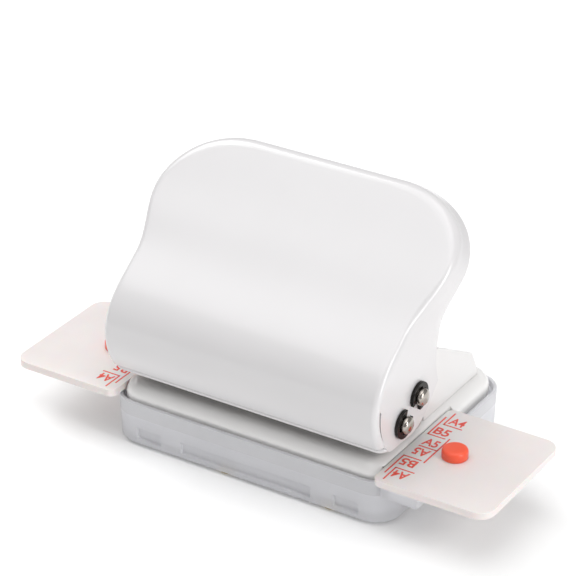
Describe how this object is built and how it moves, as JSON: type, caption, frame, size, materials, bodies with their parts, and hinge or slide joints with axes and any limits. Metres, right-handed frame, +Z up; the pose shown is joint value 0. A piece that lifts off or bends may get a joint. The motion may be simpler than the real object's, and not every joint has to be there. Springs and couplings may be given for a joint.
{
  "type": "paper hole punch",
  "caption": "Desk paper punch with a tall folded sheet lever, slide-out paper guides with index pegs, cross-shaft punches and a hinged chip tray.",
  "frame": {"origin": "on the table under the middle of the whole punch, handle at rest", "axes": "+X along the row of punches to the user's right, +Y away from the user towards the closed back of the paper slot, +Z up"},
  "size_m": [0.1182, 0.0546, 0.0639],
  "materials": {
    "white_paint": "satin",
    "steel": "satin",
    "polished_steel": "gloss",
    "dark_steel": "satin",
    "white_plastic": "matte",
    "clear_plastic": "gloss",
    "foot_rubber": "matte",
    "guide_plastic": "satin",
    "peg_plastic": "gloss"
  },
  "bodies": {
    "base": {"base_cover": "white_paint", "die_plate": "steel", "die_screws": "steel", "paper_stop": "steel", "stop_rivets": "steel", "side_plate_left": "white_paint", "side_plate_right": "white_paint", "side_plate_screws": "steel", "punch_guide": "steel", "guide_screws": "steel", "pivot_shaft": "polished_steel", "tray_hinge_pin": "steel", "pivot_spacer_left": "white_plastic", "pivot_spacer_right": "white_plastic", "pivot_clip_left": "dark_steel", "pivot_clip_right": "dark_steel", "return_spring_left": "steel", "return_spring_right": "steel"},
    "lever": {"lever_shell": "white_paint", "press_shaft": "polished_steel", "press_clip_left": "dark_steel", "press_clip_right": "dark_steel"},
    "punches": {"punch_pin_1": "steel", "punch_pin_2": "steel", "punch_pin_3": "steel", "punch_pin_4": "steel", "punch_pin_5": "steel", "punch_pin_6": "steel"},
    "right_guide": {"paper_guide_right": "guide_plastic", "index_peg_right": "peg_plastic"},
    "left_guide": {"paper_guide_left": "guide_plastic", "index_peg_left": "peg_plastic"},
    "tray": {"chip_tray": "clear_plastic", "tray_feet": "foot_rubber"}
  },
  "joints": [
    {"name": "lever_swing", "type": "hinge", "parent": "base", "child": "lever", "pos_m": [0, -0.01667, 0.0222], "axis": [-1, 0, 0], "range_deg": [0, 32], "stiffness_Nm_per_rad": 0.25, "springref_deg": -20.05, "deforming": ["return_spring_left", "return_spring_right"]},
    {"name": "punch_drop", "type": "slide", "parent": "base", "child": "punches", "axis": [0, 0, -1], "range_m": [0, 0.00384]},
    {"name": "right_guide_slide", "type": "slide", "parent": "base", "child": "right_guide", "axis": [1, 0, 0], "range_m": [0, 0.005]},
    {"name": "left_guide_slide", "type": "slide", "parent": "base", "child": "left_guide", "axis": [-1, 0, 0], "range_m": [0, 0.005]},
    {"name": "tray_hinge", "type": "hinge", "parent": "base", "child": "tray", "pos_m": [-0.0361, -0.00797, 0.0105], "axis": [0, 1, 0], "range_deg": [0, 50]}
  ],
  "couplings": [
    {"joint": "punch_drop", "follows": "lever_swing", "m_per_rad": 0.0068621}
  ]
}
